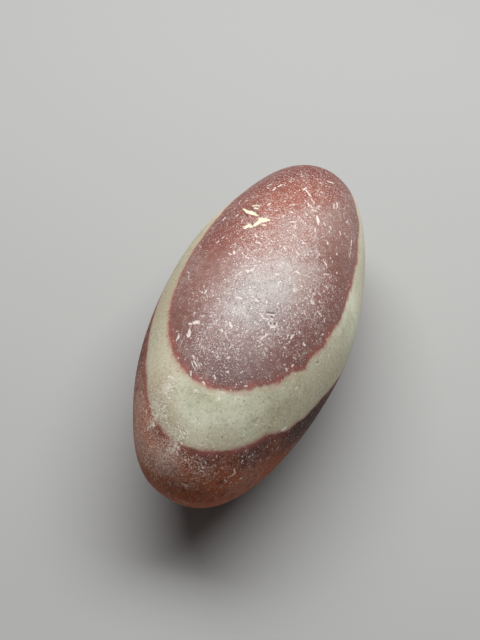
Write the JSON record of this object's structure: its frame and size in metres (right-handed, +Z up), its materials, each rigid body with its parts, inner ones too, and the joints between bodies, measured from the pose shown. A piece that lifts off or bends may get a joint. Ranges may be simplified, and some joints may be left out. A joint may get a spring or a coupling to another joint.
{
  "type": "shiva lingam stone",
  "caption": "Long, smooth, river-tumbled egg of banded quartz stone, maroon cap over a grey-green band and a dark underside, resting on a small flat spot.",
  "frame": {"origin": "on the surface the stone rests on, under the middle of its outline seen from above", "axes": "+X along the stone's length away from its blunted tip, +Y across it, +Z up through the maroon cap"},
  "size_m": [0.1188, 0.0556, 0.0511],
  "materials": {
    "banded_quartz": "river-worn smooth with a soft satin sheen; maroon and grey-green bands under fine pale sugary specks"
  },
  "bodies": {
    "root": {"stone": "banded_quartz"}
  },
  "joints": []
}
